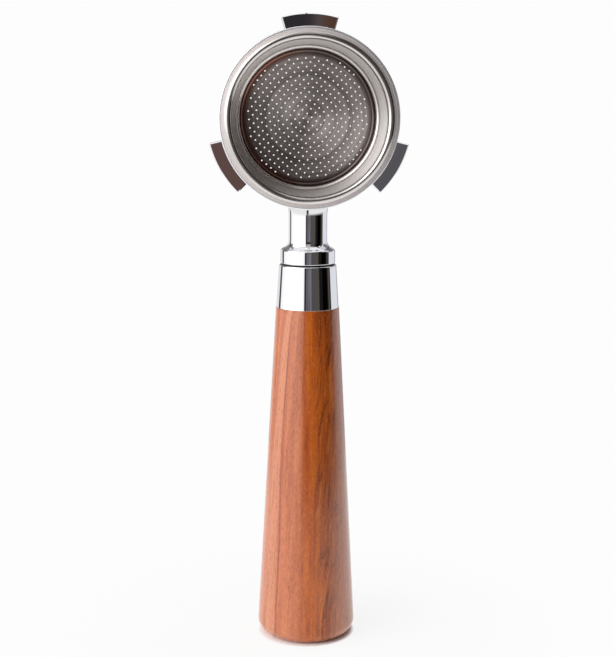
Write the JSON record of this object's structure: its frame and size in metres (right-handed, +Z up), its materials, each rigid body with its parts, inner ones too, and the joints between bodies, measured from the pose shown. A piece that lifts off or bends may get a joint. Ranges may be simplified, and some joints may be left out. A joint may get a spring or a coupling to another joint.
{
  "type": "portafilter",
  "caption": "Bottomless espresso portafilter: open ring with bayonet lugs, lift-out perforated filter basket, turned neck and a conical wooden handle.",
  "frame": {"origin": "centre of the flat end of the handle, which the part stands on", "axes": "+Z up the handle's axis to the ring, -Y out of the basket's mouth, +X to the right as seen from the mouth"},
  "size_m": [0.0664, 0.0342, 0.2165],
  "materials": {
    "lacquered_wood": "satin lacquer, straight grain along the handle",
    "polished_chrome": "mirror polish",
    "basket_steel": "stainless sheet, spin brushed",
    "insert_brass": "turned brass",
    "stud_steel": "zinc plated threaded rod",
    "spring_steel": "drawn stainless spring wire",
    "washer_rubber": "black rubber"
  },
  "bodies": {
    "holder": {"wood_handle": "lacquered_wood", "handle_insert": "insert_brass", "ferrule": "polished_chrome", "handle_washer": "washer_rubber", "handle_stud": "stud_steel", "neck": "polished_chrome", "body_ring": "polished_chrome"},
    "spring": {"basket_spring": "spring_steel"},
    "basket": {"filter_basket": "basket_steel"}
  },
  "joints": [
    {"name": "basket_turn", "type": "hinge", "parent": "holder", "child": "spring", "pos_m": [0, -0.013, 0.18215], "axis": [0, -1, 0], "continuous": true},
    {"name": "basket_lift", "type": "slide", "parent": "spring", "child": "basket", "axis": [0, -1, 0], "range_m": [0, 0.035]}
  ]
}
